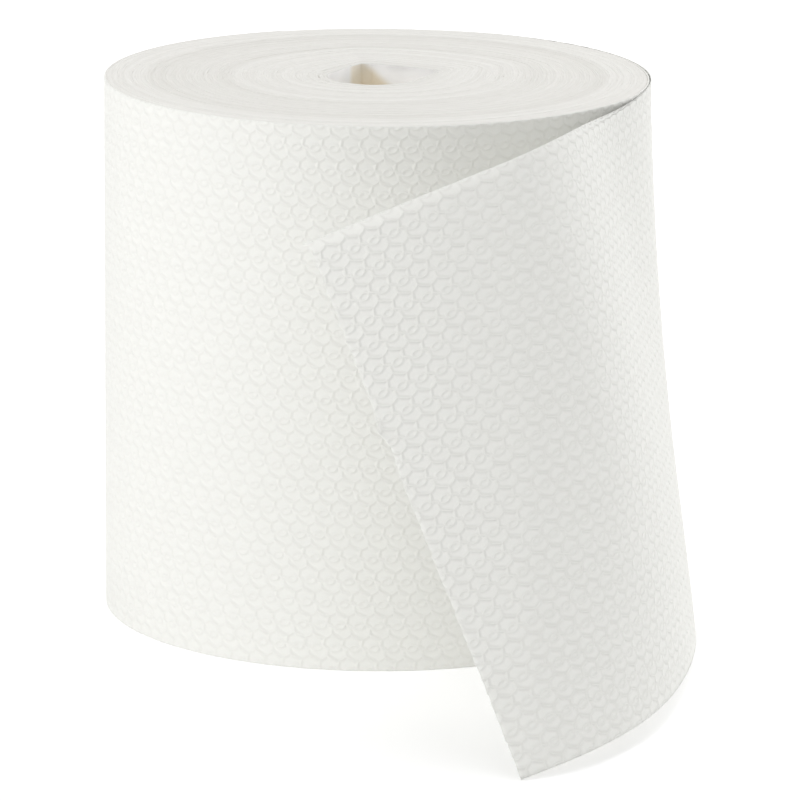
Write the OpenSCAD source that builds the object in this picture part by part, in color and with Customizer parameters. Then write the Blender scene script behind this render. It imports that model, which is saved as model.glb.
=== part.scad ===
// Coreless roll of embossed udder paper, standing on one end.
// The outer end of the web is unwound: it leaves the roll at the back, passes its
// right-hand side and stands out in front of it. Origin: the roll's axis at its base.

/* [Roll] */
// Diameter over the outermost turn
roll_d = 242; // [180:2:320]
// Width of the web, which is the height of the standing roll
web_w = 240; // [160:5:360]

/* [Paper] */
// Bulk thickness of the loose embossed two-ply web
web_t = 0.4; // [0.2:0.05:0.8]
// Air under the loose end where it lifts off the turn below
lift_gap = 0.3; // [0.1:0.05:0.6]
// How far the loose end's side edges stay inside the roll's end faces
edge_inset = 0.3; // [0.1:0.05:0.6]

/* [Centre hole] */
// Diameter of the round part of the hole
hole_d = 44; // [30:1:60]
// Sideways shift of the hole from the roll's axis
hole_shift = -3; // [-6:0.5:6]
// Reach of the hole's two creases from its centre
crease_reach = 31; // [27:0.5:40]
// Direction of the crease at the back
back_crease = 92; // [80:1:110]
// Direction of the crease at the right
side_crease = 24; // [10:1:40]

/* [Turns] */
// Radial step from one visible bundle of turns to the next
turn_pitch = 4; // [3:0.5:8]
// Width of the groove between two bundles
groove_w = 0.7; // [0.4:0.1:1.2]
// Depth of the groove between two bundles
groove_depth = 0.8; // [0.4:0.1:1.5]
// Plain rim outside the first groove
rim_w = 3; // [2:0.5:6]
// Plain collar between the last groove and the hole's creases
collar_w = 4; // [2:0.5:10]

/* [Loose end] */
// Angle round the roll at which the web leaves it
leave_angle = 112; // [90:1:120]
// Length of the loose end that is curved
curved_len = 505; // [480:5:520]
// Length of the flat stretch that ends at the torn edge
flat_len = 55; // [40:1:70]
// Folding lines that stand for the curve
fold_count = 56; // [32:4:80]

/* [Hidden] */

// Curl along the loose end, as shares of the roll's own curl, blended smoothly
curl = [0.55, 2.0, 0.55, -0.25, 0.3, 1.1];
// Lean of the folding lines from the roll's axis in degrees, blended smoothly
lean = [0, 10, 4, -35, -19, -23];

roll_r = roll_d / 2;
hole_r = hole_d / 2;
paper = [0.93, 0.93, 0.92];

// The web drops from the roll's outer radius to the turn below over this step
end_step = web_t + lift_gap;
// The loose end's outer face starts this far under the roll's outer radius
seat = 0.05;
// Length of the loose end that is buried where it joins the roll
root_len = 1.5;
// Where a crease's side starts, as a share of the hole's radius
crease_root = 0.85;
cut_over = 1;
smooth = 180;

// Point on the smooth curve led by the values in list c, at share t of its length
function blend(c, t) = len(c) == 1 ? c[0] :
    blend([for (i = [0 : len(c) - 2]) c[i] * (1 - t) + c[i + 1] * t], t);

// Vector v turned about the unit vector d by angle a
function turned(v, d, a) = v * cos(a) + cross(d, v) * sin(a) + d * (d * v) * (1 - cos(a));

function polar(r, a) = [r * cos(a), r * sin(a)];

// Lean and fold at folding line i, of the flat sheet that the loose end was
function lean_at(i) = blend(lean, i / fold_count);
function fold_share(i) = i == 0 || i == fold_count ? 0.5 : 1;
function fold_at(i) = i > fold_count ? 0 :
    blend(curl, i / fold_count) * fold_share(i) * curved_len / fold_count / roll_r * 180 / PI;

// A frame is where the flat sheet's corner, length and width directions have gone
start_r = roll_r - seat - web_t / 2;
start_frame = [
    concat(polar(start_r, leave_angle), [0]),
    [sin(leave_angle), -cos(leave_angle), 0],
    [0, 0, 1]
];
// The folding lines point down, so that a fold turns the sheet towards the roll
function line_dir(f, i) = -f[1] * sin(lean_at(i)) - f[2] * cos(lean_at(i));
function line_mid(f, i) = f[0] + f[1] * curved_len * i / fold_count + f[2] * web_w / 2;
function folded(f, i) = [
    line_mid(f, i) + turned(f[0] - line_mid(f, i), line_dir(f, i), fold_at(i)),
    turned(f[1], line_dir(f, i), fold_at(i)),
    turned(f[2], line_dir(f, i), fold_at(i))
];
frames = [for (i = 0, f = start_frame; i <= fold_count + 1; f = folded(f, i), i = i + 1) f];

// Point of the bent sheet that was at length s and width w when it was flat
function on_sheet(f, s, w) = f[0] + f[1] * s + f[2] * w;
function outward(f) = cross(f[2], f[1]);

// Four corners of the sheet's section: low outer, low inner, high inner, high outer
function section(f, s_low, s_high, face) = [
    on_sheet(f, s_low, edge_inset) + face * web_t / 2,
    on_sheet(f, s_low, edge_inset) - face * web_t / 2,
    on_sheet(f, s_high, web_w - edge_inset) - face * web_t / 2,
    on_sheet(f, s_high, web_w - edge_inset) + face * web_t / 2
];
function line_shift(i) = (web_w / 2 - edge_inset) * tan(lean_at(i));
function line_section(i) = section(
    frames[i],
    curved_len * i / fold_count - line_shift(i),
    curved_len * i / fold_count + line_shift(i),
    turned(outward(frames[i]), line_dir(frames[i], i), fold_at(i) / 2)
);
sections = concat(
    [section(frames[0], -root_len, -root_len, outward(frames[0]))],
    [for (i = [0 : fold_count]) line_section(i)],
    [section(frames[fold_count + 1], curved_len + flat_len, curved_len + flat_len,
        outward(frames[fold_count + 1]))]
);

// The bent sheet as a closed strip of panels between its sections
module loose_end() {
    last = len(sections) - 1;
    polyhedron(
        points = [for (s = sections) each s],
        faces = concat(
            [[3, 2, 1, 0]],
            [for (i = [0 : last - 1], k = [0 : 3])
                each [
                    [4 * i + k, 4 * i + (k + 1) % 4, 4 * i + 4 + (k + 1) % 4],
                    [4 * i + k, 4 * i + 4 + (k + 1) % 4, 4 * i + 4 + k]
                ]],
            [[4 * last, 4 * last + 1, 4 * last + 2, 4 * last + 3]]
        ),
        convexity = 6
    );
}

// Half a cylinder on the side of positive Y
module half_disc(r, h) {
    rotate_extrude(angle = 180, $fn = smooth)
        square([r, h]);
}

// The wound turns: two half turns about two centres, which leave a step at the web's end
module wound_turns() {
    rotate([0, 0, leave_angle])
        half_disc(roll_r, web_w);
    rotate([0, 0, leave_angle + 180])
        translate([end_step / 2, 0, 0])
            half_disc(roll_r - end_step / 2, web_w);
}

// Plan of the hole: a circle drawn out into two creases, whose sides run on inside it
module hole_plan() {
    tangent = acos(hole_r / crease_reach);
    circle(r = hole_r, $fn = smooth);
    polygon([
        [0, 0],
        polar(crease_root * hole_r, side_crease - tangent),
        polar(crease_reach, side_crease),
        polar(crease_reach, back_crease),
        polar(crease_root * hole_r, back_crease + tangent)
    ]);
}

module centre_hole() {
    translate([hole_shift, 0, -cut_over])
        linear_extrude(web_w + 2 * cut_over)
            hole_plan();
}

// Spiral groove that parts the bundles of turns: half turns about two centres
module turn_groove() {
    first_r = roll_r - rim_w - end_step;
    last_r = crease_reach + abs(hole_shift) + collar_w;
    half_turns = floor(2 * (first_r - last_r) / turn_pitch);
    for (k = [0 : half_turns - 1])
        rotate([0, 0, leave_angle + 180 * (k % 2)])
            translate([turn_pitch / 2 * (k % 2), 0, 0])
                rotate_extrude(angle = 180, $fn = smooth)
                    translate([first_r - k * turn_pitch / 2 - groove_w, 0])
                        square([groove_w, groove_depth + cut_over]);
}

module paper_roll() {
    color(paper) {
        difference() {
            wound_turns();
            centre_hole();
            translate([0, 0, web_w - groove_depth])
                turn_groove();
            translate([0, 0, -cut_over])
                turn_groove();
        }
        loose_end();
    }
}

paper_roll();
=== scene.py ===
"""A coreless roll of embossed udder paper, standing on one end with its outer end unwound."""

import bpy
import numpy as np
from mathutils import Matrix, Vector


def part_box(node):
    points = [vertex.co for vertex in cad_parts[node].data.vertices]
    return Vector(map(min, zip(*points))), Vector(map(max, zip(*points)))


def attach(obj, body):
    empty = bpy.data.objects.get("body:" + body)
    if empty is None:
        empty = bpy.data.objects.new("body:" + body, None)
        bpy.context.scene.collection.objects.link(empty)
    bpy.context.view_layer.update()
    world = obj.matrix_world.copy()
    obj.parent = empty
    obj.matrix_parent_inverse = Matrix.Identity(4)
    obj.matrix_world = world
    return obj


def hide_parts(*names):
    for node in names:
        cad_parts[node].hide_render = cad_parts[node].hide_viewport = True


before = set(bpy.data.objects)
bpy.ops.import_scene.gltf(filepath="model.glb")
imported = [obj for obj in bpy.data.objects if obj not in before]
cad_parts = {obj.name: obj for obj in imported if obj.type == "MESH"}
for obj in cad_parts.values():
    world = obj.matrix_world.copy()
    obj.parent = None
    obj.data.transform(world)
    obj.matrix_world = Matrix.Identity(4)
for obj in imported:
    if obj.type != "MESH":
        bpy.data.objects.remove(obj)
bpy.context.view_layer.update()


# Camera, light and floor
# A white floor in a white room, with soft lights at the left, in front, at the right and above,
# and one behind that grazes the top. The camera looks down by 13 degrees.

camera_place = (0.0, -2.6042, 0.7163)
camera_yaw = 0.004324
camera_pitch = 0.235293
camera_roll = 0.007997

eye = bpy.data.cameras.new("camera")
eye.sensor_width = 36
eye.lens = 268.26
camera = bpy.data.objects.new("camera", eye)
camera.matrix_world = (
    Matrix.Translation(camera_place)
    @ Matrix.Rotation(-camera_yaw, 4, "Z")
    @ Matrix.Rotation(np.pi / 2 - camera_pitch, 4, "X")
    @ Matrix.Rotation(camera_roll, 4, "Z")
)
bpy.context.collection.objects.link(camera)
bpy.context.scene.camera = camera
bpy.context.scene.view_settings.view_transform = "Standard"
light_aim = Vector((0, 0, 0.12))


def soft_light(name, place, across, power):
    lamp = bpy.data.lights.new(name, "AREA")
    lamp.shape = "DISK"
    lamp.size = across
    lamp.energy = power
    light = bpy.data.objects.new(name, lamp)
    light.location = place
    light.rotation_euler = (light_aim - light.location).to_track_quat("-Z", "Y").to_euler()
    bpy.context.collection.objects.link(light)


soft_light("left_light", (-2.5, -1.0, 1.3), across=1.0, power=21)
soft_light("front_light", (-1.1, -2.6, 1.8), across=1.0, power=10.4)
soft_light("right_light", (2.5, 0.6, 0.8), across=0.8, power=7)
soft_light("top_light", (0.0, -0.3, 2.6), across=1.8, power=15)
soft_light("back_light", (1.2, 2.2, 1.2), across=1.4, power=30)

room = bpy.data.worlds.new("room")
bpy.context.scene.world = room
room.use_nodes = True
room.node_tree.nodes["Background"].inputs["Color"].default_value = (1, 1, 1, 1)
room.node_tree.nodes["Background"].inputs["Strength"].default_value = 0.51

floor_half = 6.0
floor_mesh = bpy.data.meshes.new("floor")
floor_mesh.from_pydata(
    [(x * floor_half, y * floor_half, 0) for x, y in ((-1, -1), (1, -1), (1, 1), (-1, 1))],
    [],
    [(0, 1, 2, 3)],
)
floor = bpy.data.objects.new("floor", floor_mesh)
bpy.context.collection.objects.link(floor)
white_floor = bpy.data.materials.new("white_floor")
white_floor.use_nodes = True
floor_look = white_floor.node_tree.nodes["Principled BSDF"].inputs
floor_look["Base Color"].default_value = (0.9, 0.9, 0.9, 1)
floor_look["Roughness"].default_value = 0.9
floor_look["Emission Color"].default_value = (1, 1, 1, 1)
floor_look["Emission Strength"].default_value = 0.23
floor_mesh.materials.append(white_floor)


# Embossed web
# The web is two plies of white tissue, pressed between rolls that leave small cells all over it,
# each with an oval eye. Its pattern is laid out in flat web millimetres: s towards the free end,
# w up.

web_w = 0.240
web_t = 0.0004
cell_along = 8.3
cell_up = 10.0
cell_lean = 1.8
line_w = 0.76
emboss_depth = 0.46
wound_flat = 0.75
hole_press = 0.05
# How much painted shade darkens the pressed lines, and how much the white varies at random in soft
# patches
groove_shade_share = 0.12
patch_tone = 0.15

# Pressed lines of one cell, each from x, y to x, y in millimetres from the oval eye, and how
# far each is pressed. They part an arched pillow above the eye from a cupped one below it.
# Here x is against s.
pressed_lines = [
    ((-3.4, -3.5), (-2.3, -4.4), 1.0),
    ((-2.3, -4.4), (0.7, -5.6), 1.0),
    ((0.7, -5.6), (1.7, -5.6), 0.9),
    ((1.7, -5.6), (3.6, -4.6), 0.75),
    ((3.6, -4.6), (4.9, -3.5), 0.75),
    ((4.9, -3.5), (4.6, -1.2), 0.65),
    ((4.6, -1.2), (5.7, -0.5), 0.65),
    ((3.5, 4.4), (3.2, 2.9), 0.8),
    ((3.2, 2.9), (2.9, 1.1), 0.9),
    ((2.9, 1.1), (2.0, 0.5), 0.8),
    ((2.9, 1.1), (4.0, 0.3), 0.9),
    ((4.0, 0.3), (5.7, -0.4), 0.8),
]
eye_half_long = 2.1
eye_half_wide = 1.4
eye_tilt = np.radians(14)
eye_press = 0.7

# Columns are the steps from one cell to the next, along the web and up it
cell_steps = np.array([[cell_along, cell_lean], [0, cell_up]])


def line_parts():
    """Each line's middle in cell steps, half length, cell rows ahead and aside, and lightness."""
    for start, end, press in pressed_lines:
        middle = np.linalg.solve(cell_steps, np.add(start, end) / 2)
        reach = np.subtract(end, start) / 2
        half = np.hypot(*reach)
        ahead = reach / half
        aside = np.array([-ahead[1], ahead[0]])
        light = -np.log(press) * line_w**2
        yield middle, half, ahead @ cell_steps, aside @ cell_steps, light


def eye_parts():
    """The cell rows that give a place in the oval eye, as shares of its half axes."""
    long_way = np.array([np.cos(eye_tilt), np.sin(eye_tilt)])
    wide_way = np.array([-long_way[1], long_way[0]])
    return long_way @ cell_steps / eye_half_long, wide_way @ cell_steps / eye_half_wide


def pressed(s, w):
    """How far the web is pressed in at s, w in millimetres, from 0 to 1."""
    place = np.stack([-s, w], -1) @ np.linalg.inv(cell_steps).T

    def wrapped(middle):
        off = place - middle
        return off - np.round(off)

    squares = []
    for middle, half, ahead, aside, light in line_parts():
        off = wrapped(middle)
        past = np.maximum(np.abs(off @ ahead) - half, 0)
        squares.append(past**2 + (off @ aside) ** 2 + light)
    long_way, wide_way = eye_parts()
    off = wrapped(np.zeros(2))
    ring = (np.hypot(off @ long_way, off @ wide_way) - 1) * (eye_half_long + eye_half_wide) / 2
    squares.append(ring**2 - np.log(eye_press) * line_w**2)
    return np.exp(-np.min(squares, axis=0) / line_w**2)


# The mesh carries the soft part of the pattern, and the material's bump carries its lines
wave_samples = 24
wave_reach = 1
mesh_relief = 0.45
sample = np.arange(wave_samples) / wave_samples
sample_place = np.stack(np.meshgrid(sample, sample, indexing="ij"), -1) @ cell_steps.T
cell_waves = np.fft.fft2(-pressed(-sample_place[..., 0], sample_place[..., 1])) / wave_samples**2


def relief(s, w):
    """How far the embossing lifts the web at s, w in metres."""
    along, up = np.linalg.inv(cell_steps) @ np.array([-1000 * s + 0 * w, 1000 * w + 0 * s])
    height = 0
    for a in range(-wave_reach, wave_reach + 1):
        for b in range(-wave_reach, wave_reach + 1):
            if (a, b) != (0, 0):
                wave = cell_waves[a, b] * np.exp(2j * np.pi * (a * along + b * up))
                height = height + wave.real
    return height * emboss_depth * mesh_relief / 1000


def value_node(tree, operation, *values):
    """A Math node of the tree, fed with sockets or numbers."""
    node = tree.nodes.new("ShaderNodeMath")
    node.operation = operation
    for socket, value in zip(node.inputs, values):
        if isinstance(value, bpy.types.NodeSocket):
            tree.links.new(value, socket)
        else:
            socket.default_value = value
    return node.outputs[0]


def vector_node(tree, operation, *values):
    """A Vector Math node of the tree, fed with sockets or vectors of numbers."""
    node = tree.nodes.new("ShaderNodeVectorMath")
    node.operation = operation
    for socket, value in zip(node.inputs, values):
        if isinstance(value, bpy.types.NodeSocket):
            tree.links.new(value, socket)
        else:
            socket.default_value = value
    return node.outputs["Value" if operation in ("DOT_PRODUCT", "LENGTH") else "Vector"]


def pressed_nodes(tree, web):
    """The same as pressed(), in shader nodes, from the web's flat millimetres."""
    def value(operation, *values):
        return value_node(tree, operation, *values)

    def vector(operation, *values):
        return vector_node(tree, operation, *values)

    to_cell = np.linalg.inv(cell_steps) * [-1, 1]
    place = tree.nodes.new("ShaderNodeCombineXYZ")
    for socket, row in zip(place.inputs, to_cell):
        tree.links.new(vector("DOT_PRODUCT", web, (*row, 0)), socket)
    nearest = None

    def wrapped(middle):
        off = vector("SUBTRACT", place.outputs[0], (*middle, 0))
        return vector("WRAP", off, (0.5, 0.5, 1), (-0.5, -0.5, -1))

    def nearer(square):
        return square if nearest is None else value("MINIMUM", nearest, square)

    for middle, half, ahead, aside, light in line_parts():
        off = wrapped(middle)
        past = value("ABSOLUTE", vector("DOT_PRODUCT", off, (*ahead, 0)))
        past = value("MAXIMUM", value("SUBTRACT", past, half), 0)
        off = vector("DOT_PRODUCT", off, (*aside, 0))
        square = value("MULTIPLY_ADD", past, past, value("MULTIPLY", off, off))
        nearest = nearer(value("ADD", square, float(light)))
    long_way, wide_way = eye_parts()
    off = wrapped((0, 0))
    long_off = vector("DOT_PRODUCT", off, (*long_way, 0))
    wide_off = vector("DOT_PRODUCT", off, (*wide_way, 0))
    long_square = value("MULTIPLY", long_off, long_off)
    wide_square = value("MULTIPLY", wide_off, wide_off)
    ring = value("SQRT", value("ADD", long_square, wide_square))
    ring = value("MULTIPLY", value("SUBTRACT", ring, 1), (eye_half_long + eye_half_wide) / 2)
    nearest = nearer(value("MULTIPLY_ADD", ring, ring, -float(np.log(eye_press)) * line_w**2))
    return value("EXPONENT", value("DIVIDE", nearest, -(line_w**2)))


def embossed_paper(name, white, groove_shade_colour, depth):
    """White tissue with a pressed pattern, so many millimetres deep, and a fine fibrous surface,
    with painted shade darkening its pressed lines.
    """
    look = bpy.data.materials.new(name)
    look.use_nodes = True
    tree = look.node_tree
    shader = tree.nodes["Principled BSDF"]
    shader.inputs["Roughness"].default_value = 0.95
    shader.inputs["Specular IOR Level"].default_value = 0.15
    shader.inputs["Sheen Weight"].default_value = 0.15
    shader.inputs["Sheen Roughness"].default_value = 0.6

    web = tree.nodes.new("ShaderNodeUVMap")
    web.uv_map = "web"
    lines = pressed_nodes(tree, web.outputs["UV"])

    fibre = tree.nodes.new("ShaderNodeTexNoise")
    fibre.inputs["Scale"].default_value = 1.6
    fibre.inputs["Detail"].default_value = 4
    fibre.inputs["Roughness"].default_value = 0.6
    tree.links.new(web.outputs["UV"], fibre.inputs["Vector"])
    soft = tree.nodes.new("ShaderNodeTexNoise")
    soft.inputs["Scale"].default_value = 0.09
    soft.inputs["Detail"].default_value = 2
    tree.links.new(web.outputs["UV"], soft.inputs["Vector"])

    press = tree.nodes.new("ShaderNodeBump")
    press.inputs["Distance"].default_value = depth / 1000
    tree.links.new(value_node(tree, "SUBTRACT", 1, lines), press.inputs["Height"])
    fuzz = tree.nodes.new("ShaderNodeBump")
    fuzz.inputs["Distance"].default_value = 0.00012
    tree.links.new(fibre.outputs[0], fuzz.inputs["Height"])
    tree.links.new(press.outputs[0], fuzz.inputs["Normal"])
    tree.links.new(fuzz.outputs[0], shader.inputs["Normal"])

    # Painted shade darkens the pressed lines towards the second colour, as shade in their grooves;
    # soft patches vary the white at random
    tone = tree.nodes.new("ShaderNodeMix")
    tone.data_type = "RGBA"
    tone.inputs["A"].default_value = white
    tone.inputs["B"].default_value = groove_shade_colour
    groove_shade = value_node(tree, "MULTIPLY", lines, groove_shade_share)
    patch = value_node(tree, "SUBTRACT", soft.outputs[0], 0.5)
    patch_shade = value_node(tree, "MULTIPLY", patch, patch_tone)
    tree.links.new(value_node(tree, "ADD", groove_shade, patch_shade), tone.inputs["Factor"])
    tree.links.new(tone.outputs["Result"], shader.inputs["Base Color"])
    return look


# Each paper's second colour is the painted shade of its pressed lines
loose_paper = embossed_paper(
    "loose_paper", (0.86, 0.86, 0.825, 1), (0.66, 0.65, 0.60, 1), emboss_depth
)
wound_paper = embossed_paper(
    "wound_paper", (0.86, 0.86, 0.825, 1), (0.72, 0.71, 0.67, 1), emboss_depth * wound_flat
)


def grid_faces(rows, columns, closed=True):
    """Quads of a grid of points, whose columns and rows close into rings where closed is true."""
    less = 0 if closed else 1
    r, c = np.meshgrid(np.arange(rows - less), np.arange(columns - less), indexing="ij")
    down, on = (r + 1) % rows, (c + 1) % columns
    return np.stack(
        [r * columns + c, r * columns + on, down * columns + on, down * columns + c], -1
    ).reshape(-1, 4)


def solid_piece(name, points, faces, web_places, materials, face_material=None):
    """A smooth mesh object, with flat-web millimetres as its UV map."""
    mesh = bpy.data.meshes.new(name)
    mesh.from_pydata(points.tolist(), [], faces.tolist())
    mesh.uv_layers.new(name="web").data.foreach_set("uv", web_places.astype(np.float32).ravel())
    for one in materials:
        mesh.materials.append(one)
    if face_material is not None:
        mesh.polygons.foreach_set("material_index", face_material)
    mesh.shade_smooth()
    mesh.validate()
    piece = bpy.data.objects.new(name, mesh)
    bpy.context.collection.objects.link(piece)
    return piece


# Wound turns
# Several hundred turns of the web, wound tight on a spindle that is drawn out afterwards, so
# the roll has no core. Its hole has sagged from round into two creases.

roll_r = -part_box("paper_roll")[0][0]
leave_angle = np.radians(112)
end_step = 0.0007
hole_r = 0.0205
hole_shift = -0.0015
crease_reach = 0.032
crease_bulge = 1.1
back_crease = np.radians(100)
side_crease = np.radians(24)

columns = 432
side_rows = 128
turn = np.arange(columns) / columns
column_angle = leave_angle + 2 * np.pi * turn
outer_r = roll_r - np.where(turn > 0.5, end_step / 2 * (1 - np.cos(2 * np.pi * (turn - 0.5))), 0)
column_s = -roll_r * 2 * np.pi * turn


def hole_reach(angle):
    """Radius of the hole's outline about its own centre: a circle drawn out into two creases."""
    lean = np.arccos(hole_r / crease_reach)
    middle = (side_crease + back_crease) / 2
    chord = crease_reach * np.cos((back_crease - side_crease) / 2) * crease_bulge
    angle = (angle - middle + np.pi) % (2 * np.pi) - np.pi + middle
    steep = np.radians(80)

    def line(distance, off):
        return distance / np.cos(np.clip(off, 0, steep))

    return np.min(
        [
            line(hole_r, angle - side_crease + lean),
            line(chord, np.abs(angle - middle)),
            line(hole_r, back_crease + lean - angle),
            np.full_like(angle, crease_reach),
        ],
        axis=0,
    )


def end_point(angle, share, rim):
    """Place in an end face, at a share of the way from the hole's edge to the rim."""
    spoke = np.stack([np.cos(angle), np.sin(angle)], -1)
    inner = hole_reach(angle)[..., None] * spoke + [hole_shift, 0]
    return inner + (rim[..., None] * spoke - inner) * np.asarray(share)[..., None]


# The end faces lie this far under the ends of the web, next to the hole and elsewhere, so that
# the turns' edges stand out of them
hole_edge = 0.0005
under_edges = 0.0010
rim_edge = 0.0009
rim_steps = [(rim_edge, 0.00015), (rim_edge / 2, 0.0), (0.00012, 0.0001)]
side_edge = 0.0006
lip_shares = [0.010, 0.022]
face_from = 0.035
face_rings = 9

# The wall of the hole is wavy: how many waves go round it, how high they are, how much they lean
# on the way up, and the radius at which they have that height
wall_rows = 18
wave_counts = [2, 3, 5, 7, 11]
wave_height = 0.0002
wave_lean = 9
wave_r = 0.03

rng = np.random.default_rng(5)
wall_z = np.linspace(hole_edge, web_w - hole_edge, wall_rows)
wall_wave = 0
for count in wave_counts:
    size, start = rng.normal(), rng.uniform(0, 6.3)
    leaning = wave_lean * wall_z[:, None] * rng.normal()
    wall_wave = wall_wave + size * np.cos(count * column_angle + start + leaning)
wall_wave = wall_wave * wave_height


def wall_ring(wave, z):
    place = end_point(column_angle, 0 * turn, outer_r) * (1 - wave[:, None] / wave_r)
    return np.concatenate([place, np.full((columns, 1), z)], 1)


def face_ring(share, z):
    return np.concatenate(
        [end_point(column_angle, share + 0 * turn, outer_r - rim_edge), np.full((columns, 1), z)], 1
    )


def rim_ring(inset, z):
    r = outer_r - inset + relief(column_s, z)
    return np.stack([r * np.cos(column_angle), r * np.sin(column_angle), np.full(columns, z)], -1)


face_shares = np.linspace(face_from, 1, face_rings)
side_z = np.linspace(web_w - side_edge, side_edge, side_rows)
rings = (
    [wall_ring(wave, z) for wave, z in zip(wall_wave, wall_z)]
    + [face_ring(share, web_w - hole_edge) for share in lip_shares]
    + [face_ring(share, web_w - under_edges) for share in face_shares]
    + [rim_ring(inset, web_w - drop) for inset, drop in rim_steps]
    + [rim_ring(0, z) for z in side_z]
    + [rim_ring(inset, drop) for inset, drop in reversed(rim_steps)]
    + [face_ring(share, under_edges) for share in reversed(face_shares)]
    + [face_ring(share, hole_edge) for share in reversed(lip_shares)]
)
ring_points = np.stack(rings)
ring_count = len(rings)
ring_faces = grid_faces(ring_count, columns)
corner_ring = ring_faces // columns
corner_turn = ring_faces % columns
wraps = (corner_turn == 0) & (corner_turn.max(axis=1, keepdims=True) == columns - 1)
ring_reach = np.where(np.arange(ring_count) < wall_rows, hole_r, roll_r)[corner_ring]
corner_s = -ring_reach * 2 * np.pi * (corner_turn + wraps * columns) / columns * 1000
corner_w = ring_points[..., 2].reshape(-1)[ring_faces] * 1000
web_places = np.stack([corner_s, corner_w], -1)


# Painted brown shade fills the back crease. It comes in between the two distances left of
# shade_from, and ends at a soft edge that slants to the right on the way into the hole.
shade_from = -0.0095
shade_slant = 1.2
shade_soft = 0.007
shade_left = [0.0035, 0.001]
shade_brown = (0.84, 0.75, 0.60, 1)


def hole_wall_look():
    """Paper that light comes a little way through, painted lighter and warmer than the rest of the
    web as painted light, with painted brown shade in its back crease.
    """
    # The wall's white is painted lighter and warmer than the rest of the web's, as painted light in
    # the hole
    look = embossed_paper(
        "hole_paper", (0.98, 0.96, 0.92, 1), (0.95, 0.92, 0.86, 1), hole_press
    )
    tree = look.node_tree
    shader = tree.nodes["Principled BSDF"]
    shader.inputs["Subsurface Weight"].default_value = 0.7
    shader.inputs["Subsurface Radius"].default_value = (1.0, 1.0, 1.0)
    shader.inputs["Subsurface Scale"].default_value = 0.012
    place = tree.nodes.new("ShaderNodeTexCoord")
    split = tree.nodes.new("ShaderNodeSeparateXYZ")
    tree.links.new(place.outputs["Object"], split.inputs[0])
    across = split.outputs["X"]
    off_middle = value_node(tree, "SUBTRACT", split.outputs["Z"], web_w / 2)
    depth = value_node(tree, "SUBTRACT", web_w / 2, value_node(tree, "ABSOLUTE", off_middle))
    right = value_node(tree, "SUBTRACT", across, shade_from)
    slanted = value_node(tree, "MULTIPLY_ADD", depth, -shade_slant, right)
    left_bright, left_dark = [shade_from - left for left in shade_left]
    shades = []
    for reading, bright_at, dark_at in (
        (slanted, shade_soft, 0),
        (across, left_bright, left_dark),
    ):
        ramp = tree.nodes.new("ShaderNodeMapRange")
        ramp.interpolation_type = "SMOOTHSTEP"
        tree.links.new(reading, ramp.inputs["Value"])
        ramp.inputs["From Min"].default_value = bright_at
        ramp.inputs["From Max"].default_value = dark_at
        shades.append(ramp.outputs[0])
    # The painted brown shade of the back crease is mixed into the wall's colour here
    shaded = tree.nodes.new("ShaderNodeMix")
    shaded.data_type = "RGBA"
    tree.links.new(value_node(tree, "MULTIPLY", *shades), shaded.inputs["Factor"])
    tree.links.new(shader.inputs["Base Color"].links[0].from_socket, shaded.inputs["A"])
    shaded.inputs["B"].default_value = shade_brown
    tree.links.new(shaded.outputs["Result"], shader.inputs["Base Color"])
    return look


# The grain's fineness round the roll and across it, and how much the grain and the painted light on
# the proud edges brighten the paper; lower down between the edges the darker colour stays as
# painted shade
grain_round = 9
grain_across = 2200
grain_share = 0.5
proud_painted_light = 0.6


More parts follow.
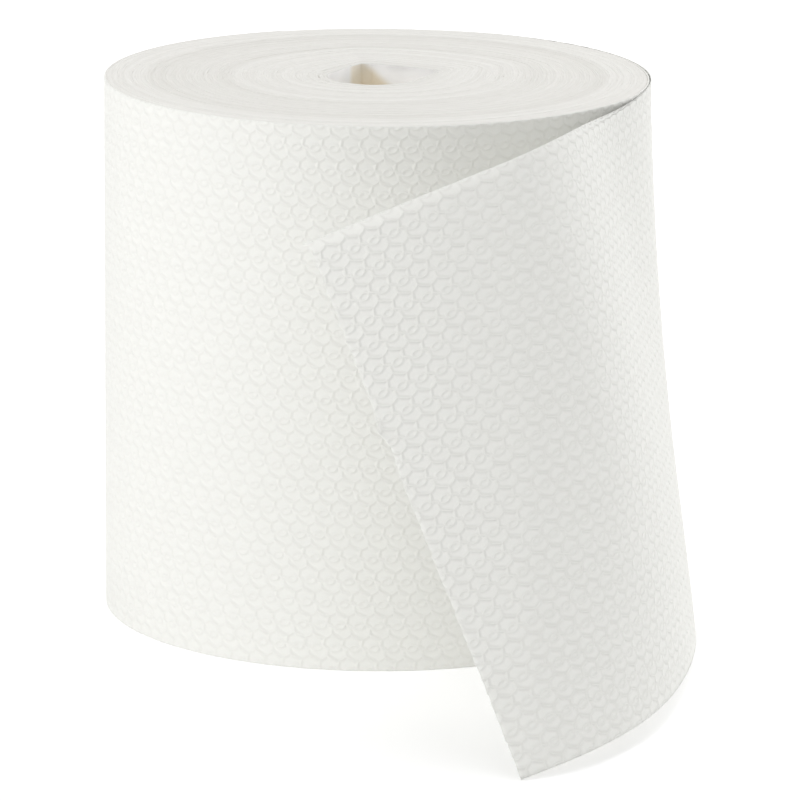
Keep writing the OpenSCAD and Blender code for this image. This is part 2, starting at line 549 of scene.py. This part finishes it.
def turn_edge_look():
    """Cut edges of many turns seen from the end: slightly greyer, with a fine grain along them,
    painted shade deep between them and painted light where they stand proud.
    """
    look = bpy.data.materials.new("cut_edges")
    look.use_nodes = True
    tree = look.node_tree
    shader = tree.nodes["Principled BSDF"]
    shader.inputs["Roughness"].default_value = 0.95
    shader.inputs["Specular IOR Level"].default_value = 0.1
    place = tree.nodes.new("ShaderNodeTexCoord")
    flat = vector_node(tree, "MULTIPLY", place.outputs["Object"], (1, 1, 0))
    reach = vector_node(tree, "LENGTH", flat)
    spoke = vector_node(tree, "NORMALIZE", flat)
    spread = vector_node(tree, "MULTIPLY", spoke, (grain_round, grain_round, 0))
    split = tree.nodes.new("ShaderNodeSeparateXYZ")
    tree.links.new(spread, split.inputs[0])
    grain_place = tree.nodes.new("ShaderNodeCombineXYZ")
    tree.links.new(split.outputs["X"], grain_place.inputs["X"])
    tree.links.new(split.outputs["Y"], grain_place.inputs["Y"])
    tree.links.new(value_node(tree, "MULTIPLY", reach, grain_across), grain_place.inputs["Z"])
    grain = tree.nodes.new("ShaderNodeTexNoise")
    grain.inputs["Scale"].default_value = 1
    grain.inputs["Detail"].default_value = 3
    tree.links.new(grain_place.outputs[0], grain.inputs["Vector"])
    bump = tree.nodes.new("ShaderNodeBump")
    bump.inputs["Distance"].default_value = 0.0003
    tree.links.new(grain.outputs[0], bump.inputs["Height"])
    tree.links.new(bump.outputs[0], shader.inputs["Normal"])
    # The darker colour is painted shade down between the edges, and the lighter one painted light
    # on their proud tops, with the grain mixed in
    tone = tree.nodes.new("ShaderNodeMix")
    tone.data_type = "RGBA"
    tone.inputs["A"].default_value = (0.66, 0.645, 0.605, 1)
    tone.inputs["B"].default_value = (0.87, 0.86, 0.83, 1)
    up = tree.nodes.new("ShaderNodeSeparateXYZ")
    tree.links.new(place.outputs["Object"], up.inputs[0])
    off_middle = value_node(tree, "SUBTRACT", up.outputs["Z"], web_w / 2)
    proud = tree.nodes.new("ShaderNodeMapRange")
    tree.links.new(value_node(tree, "ABSOLUTE", off_middle), proud.inputs["Value"])
    proud.inputs["From Min"].default_value = web_w / 2 - under_edges
    proud.inputs["From Max"].default_value = web_w / 2
    bright = value_node(tree, "MULTIPLY", proud.outputs[0], proud_painted_light)
    bright = value_node(tree, "MULTIPLY_ADD", grain.outputs[0], grain_share, bright)
    tree.links.new(bright, tone.inputs["Factor"])
    tree.links.new(tone.outputs["Result"], shader.inputs["Base Color"])
    return look


hole_paper = hole_wall_look()
cut_edges = turn_edge_look()

# The rings of the side are in the first material, those of the end faces and the first step of
# the rim in the second, and those of the hole in the third
end_rings = len(lip_shares) + face_rings + 1
ring_kind = np.zeros(ring_count, int)
ring_kind[: wall_rows - 1] = 2
ring_kind[wall_rows - 1 : wall_rows + end_rings] = 1
ring_kind[-end_rings - 1 :] = 1
roll = solid_piece(
    "wound_turns",
    ring_points.reshape(-1, 3),
    ring_faces,
    web_places,
    [wound_paper, cut_edges, hole_paper],
    ring_kind[corner_ring[:, 0]],
)
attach(roll, "root")
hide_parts("paper_roll")


# Turn edges
# The web's cut edges show in both end faces as one long spiral, whose turns stand a little
# proud or sunk in bundles, because the web wanders as it is wound.

turn_count = 84
steps_per_turn = 150

# The ridges are wider than their pitch, so that they overlap
ridge_w = 0.0020
ridge_deep = 0.0012
ridge_half = 0.577

# How far the turns stand proud: bundles of them, stretches of one turn, and a few single ones.
# The web also wanders by pitch_change turns.
bundle_turns = 3.4
bundle_lift = 0.00010
turn_lift = 0.00008
proud_lift = 0.00022
pitch_change = 0.12
height_range = (-0.0006, 0.0005)
rim_turns = 0.1
rim_inset = 0.0002
last_share = 0.020

# Dents where the roll was squeezed, as angle and half width in degrees, and push half way in.
# The turns next to the hole are rumpled on their left.
dents = [(168, 3.5, 0.0005), (175, 3.0, -0.0005), (1, 4.0, 0.0005), (-6, 5.0, -0.0003)]
rumpled_turns = 7
rumpled_at = np.radians(182)
rumpled_half = np.radians(38)
rumple_push = 0.0001
rumple_lift = 0.0004


def turn_path(z, side, seed):
    """The spiral that the web's edge follows, from the rim in to the hole."""
    draw = np.random.default_rng(seed)
    tau = np.arange(turn_count * steps_per_turn + 1) / steps_per_turn
    angle = leave_angle + 2 * np.pi * tau

    def drawn(step, size):
        knots = int(turn_count / step) + 3
        return np.interp(tau, np.arange(knots) * step, draw.normal(size=knots) * size)

    def near(middle, half):
        off = (angle - middle + np.pi) % (2 * np.pi) - np.pi
        return np.exp(-((off / half) ** 2))

    wound = tau + rim_turns + drawn(0.7, pitch_change) * np.minimum(tau, 1)
    share = 1 - (1 - last_share) * wound / (turn_count + rim_turns)
    edge_r = roll_r - rim_edge
    rim = np.full(len(tau), edge_r - rim_inset)
    place = end_point(angle, np.clip(share, last_share, 1), rim)
    height = drawn(bundle_turns, bundle_lift) + drawn(1 / 3, turn_lift)
    height += proud_lift * np.clip(drawn(0.8, 1) - 0.8, 0, 1)

    push = 0
    half_way = 4 * share * (1 - share)
    for at, half, size in dents:
        dent = size * near(np.radians(at), np.radians(half))
        push = push + dent * half_way * drawn(1.5, 1)
    rumple = near(rumpled_at, rumpled_half) * np.clip(1 - (turn_count - tau) / rumpled_turns, 0, 1)
    push = push + rumple * drawn(1 / 24, rumple_push)
    height += rumple * drawn(1 / 30, rumple_lift)
    reach = np.hypot(place[:, 0], place[:, 1])
    place = place * (1 + np.minimum(push, edge_r - reach) / reach)[:, None]
    return np.concatenate([place, (z + side * np.clip(height, *height_range))[:, None]], 1)


def line_object(name, points):
    mesh = bpy.data.meshes.new(name)
    mesh.from_pydata(points.tolist(), [(i, i + 1) for i in range(len(points) - 1)], [])
    thing = bpy.data.objects.new(name, mesh)
    bpy.context.collection.objects.link(thing)
    return thing


def swept_edges():
    """Geometry nodes that sweep a low rounded ridge along the web's edge."""
    tree = bpy.data.node_groups.new("swept_edges", "GeometryNodeTree")
    ports = tree.interface
    ports.new_socket("Geometry", in_out="INPUT", socket_type="NodeSocketGeometry")
    for label, value in (("Ridge Width", ridge_w), ("Ridge Depth", ridge_deep)):
        ports.new_socket(label, in_out="INPUT", socket_type="NodeSocketFloat").default_value = value
    ports.new_socket("Geometry", in_out="OUTPUT", socket_type="NodeSocketGeometry")
    new, wire = tree.nodes.new, tree.links.new
    given, result = new("NodeGroupInput"), new("NodeGroupOutput")

    path = new("GeometryNodeMeshToCurve")
    wire(given.outputs["Geometry"], path.inputs["Mesh"])
    upright = new("GeometryNodeSetCurveNormal")
    upright.mode = "Z_UP"
    wire(path.outputs["Curve"], upright.inputs["Curve"])

    ridge = new("GeometryNodeCurvePrimitiveCircle")
    ridge.inputs["Resolution"].default_value = 6
    ridge.inputs["Radius"].default_value = 1.0
    shaped = new("GeometryNodeSetPosition")
    wire(ridge.outputs["Curve"], shaped.inputs["Geometry"])
    place = new("GeometryNodeInputPosition")
    size = new("ShaderNodeCombineXYZ")
    wire(value_node(tree, "MULTIPLY", given.outputs["Ridge Width"], ridge_half), size.inputs["X"])
    wire(value_node(tree, "MULTIPLY", given.outputs["Ridge Depth"], 0.5), size.inputs["Y"])
    stretched = new("ShaderNodeVectorMath")
    stretched.operation = "MULTIPLY"
    wire(place.outputs[0], stretched.inputs[0])
    wire(size.outputs[0], stretched.inputs[1])
    wire(stretched.outputs[0], shaped.inputs["Position"])

    sweep = new("GeometryNodeCurveToMesh")
    sweep.inputs["Fill Caps"].default_value = True
    wire(upright.outputs["Curve"], sweep.inputs["Curve"])
    wire(shaped.outputs["Geometry"], sweep.inputs["Profile Curve"])
    smooth = new("GeometryNodeSetShadeSmooth")
    wire(sweep.outputs["Mesh"], smooth.inputs["Geometry"])
    real = new("GeometryNodeRealizeInstances")
    wire(smooth.outputs["Geometry"], real.inputs["Geometry"])
    finish = new("GeometryNodeSetMaterial")
    finish.inputs["Material"].default_value = cut_edges
    wire(real.outputs["Geometry"], finish.inputs["Geometry"])
    wire(finish.outputs["Geometry"], result.inputs["Geometry"])
    return tree


edge_sweep = swept_edges()


def node_piece(thing, tree):
    """Runs a node tree on an object and keeps the result as its plain mesh."""
    thing.modifiers.new("shape", "NODES").node_group = tree
    shown = thing.evaluated_get(bpy.context.evaluated_depsgraph_get())
    mesh = bpy.data.meshes.new_from_object(shown)
    thing.modifiers.clear()
    thing.data = mesh
    return thing


face_drop = 0.0002
floor_gap = 0.0006
for name, z, side, seed in (
    ("top_turn_edges", web_w - face_drop - ridge_deep / 2, 1, 21),
    ("base_turn_edges", floor_gap + ridge_deep / 2, -1, 22),
):
    edges = node_piece(line_object(name, turn_path(z, side, seed)), edge_sweep)
    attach(edges, "root")


# Loose end
# The outer end of the same web, pulled off the roll round its right-hand side. It ends in a
# torn perforation, which leans across the front of the roll.

curved_len = 0.505
flat_len = 0.055
edge_inset = 0.0003
seat = 0.00005
curl = [0.55, 2.0, 0.55, -0.25, 0.3, 1.1]
lean = np.radians([0, 10, 4, -35, -19, -23])
fold_count = 560
length_steps = 336
width_steps = 143

# Limp web sinks against the roll, most along its top edge, and frees itself from it further on,
# where it has slipped down a little
sink = 0.98
sink_low = 0.0004
sunk_until = 0.275
free_from = 0.455
top_drop = 1.0
slip_down = 0.0035
slip_at = [0.26, 0.345, 0.45]

# The torn end still has some of the roll's curl, and its upper corner sags
bend_from = 0.43
bend_back = 0.016
bend_top = 0.034
corner_sag = 0.0085

# Its top edge has curled over, most at the torn corner, and pulling has stretched its pattern
lip_w = 0.0050
lip_drop = 0.0045
lip_from = 0.36
web_pull = 1.25

# The torn edge is rough, with a tongue and notches in it, as height, half width and how far the
# edge stands out there. The pattern fades in over seam_len where the loose end leaves the roll.
tear_rough = 0.00022
tear_bites = [
    (0.156, 0.006, 0.0016),
    (0.146, 0.004, -0.0012),
    (0.2355, 0.0016, -0.0009),
    (0.224, 0.0016, -0.0009),
]
seam_len = 0.01


def blend(values, share):
    """Point on the smooth curve led by the values, at a share of its length."""
    values = list(values)
    while len(values) > 1:
        values = [a * (1 - share) + b * share for a, b in zip(values, values[1:])]
    return values[0]


def turned(vector, axis, angle):
    return np.array(Matrix.Rotation(angle, 3, Vector(axis)) @ Vector(vector))


def folded_frames():
    """The flat sheet's corner, length and width directions after each of its folds."""
    start_r = roll_r - seat - web_t / 2
    corner = np.array([start_r * np.cos(leave_angle), start_r * np.sin(leave_angle), 0])
    along = np.array([np.sin(leave_angle), -np.cos(leave_angle), 0])
    up = np.array([0, 0, 1.0])
    frames = [(corner, along, up)]
    for i in range(fold_count + 1):
        share = i / fold_count
        axis = -along * np.sin(blend(lean, share)) - up * np.cos(blend(lean, share))
        angle = blend(curl, share) * curved_len / fold_count / roll_r
        angle *= 0.5 if i in (0, fold_count) else 1
        middle = corner + along * curved_len * share + up * web_w / 2
        corner = middle + turned(corner - middle, axis, angle)
        along, up = turned(along, axis, angle), turned(up, axis, angle)
        frames.append((corner, along, up))
    return np.array(frames)


def sunk(place, s, w):
    """The places of points s, w of the loose end after the limp web has sunk to the roll."""
    ease = np.clip((s - sunk_until) / (free_from - sunk_until), 0, 1)
    ease = (0.5 + 0.5 * np.cos(np.pi * ease)) * (w / web_w) ** 1.5
    reach = np.hypot(place[:, 0], place[:, 1])
    gap = np.maximum(reach - roll_r, 0)
    nearer = np.maximum(gap * (1 - sink * ease), np.minimum(gap, sink_low))
    closer = 1 - (gap - nearer) / reach
    slipped = np.interp(s, slip_at, [0, 1, 0])
    slipped = slipped**2 * (3 - 2 * slipped) * slip_down * w / web_w
    lower = top_drop * ease * np.maximum(place[:, 2] - web_w, 0) + slipped
    return place * np.stack([closer, closer, np.ones_like(closer)], -1) - lower[:, None] * [0, 0, 1]


def bent(place, s, w):
    """The places of points s, w of the loose end after the torn end has curled back and sagged."""
    ease = np.clip((s - bend_from) / (curved_len + flat_len - bend_from), 0, 1) ** 2
    back = bend_back + (bend_top - bend_back) * w / web_w
    return place + ease[:, None] * [0, back, -corner_sag * w / web_w]


frames = folded_frames()
share_of_fold = np.arange(fold_count + 1) / fold_count


def on_sheet(s, w):
    """Where the point s, w of the flat loose end has gone, and the way that it faces."""
    fold_s = curved_len * share_of_fold + (w - web_w / 2) * np.tan(blend(lean, share_of_fold))
    passed = frames[np.searchsorted(fold_s, s)]
    place = passed[:, 0] + passed[:, 1] * s[:, None] + passed[:, 2] * w
    return place, np.cross(passed[:, 2], passed[:, 1])


tear_draw = np.random.default_rng(11)
lip_rows = 8
sheet_w = np.concatenate(
    [
        np.linspace(edge_inset, web_w - lip_w, width_steps + 1 - lip_rows),
        np.linspace(web_w - lip_w, web_w - edge_inset, lip_rows + 1)[1:],
    ]
)
tear = tear_draw.normal(size=width_steps + 1) * tear_rough
for height, half, out in tear_bites:
    tear += out * np.exp(-(((sheet_w - height) / half) ** 2))
outer_face, inner_face, places = [], [], []
for w, extra in zip(sheet_w, tear):
    s = np.linspace(0, curved_len + flat_len + extra, length_steps + 1)
    middle, out = on_sheet(s, w)
    middle = bent(sunk(middle, s, w), s, w)
    lip = lip_drop * np.clip((w - web_w + lip_w) / lip_w, 0, 1) ** 2
    lip = lip * np.clip((s - lip_from) / (curved_len + flat_len - lip_from), 0, 1)
    lift = relief(s / web_pull, w) * np.clip(s / seam_len, 0, 1) - lip
    middle = middle + out * lift[:, None]
    outer_face.append(middle + out * web_t / 2)
    inner_face.append(middle - out * web_t / 2)
    places.append(np.stack([s / web_pull, np.full_like(s, w)], -1) * 1000)
row, line = width_steps + 1, length_steps + 1
sheet_points = np.concatenate([np.reshape(outer_face, (-1, 3)), np.reshape(inner_face, (-1, 3))])
sheet_places = np.concatenate([np.reshape(places, (-1, 2))] * 2)
front = grid_faces(row, line, closed=False)
back = front[:, ::-1] + row * line
index = np.arange(row * line).reshape(row, line)
border = np.concatenate([index[0, :-1], index[:-1, -1], index[-1, :0:-1], index[:0:-1, 0]])
after = np.roll(border, -1)
rim = np.stack([border, border + row * line, after + row * line, after], -1)
sheet_faces = np.concatenate([front, back, rim])
loose = solid_piece(
    "loose_end", sheet_points, sheet_faces, sheet_places[sheet_faces], [loose_paper]
)
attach(loose, "root")
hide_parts("paper_roll")
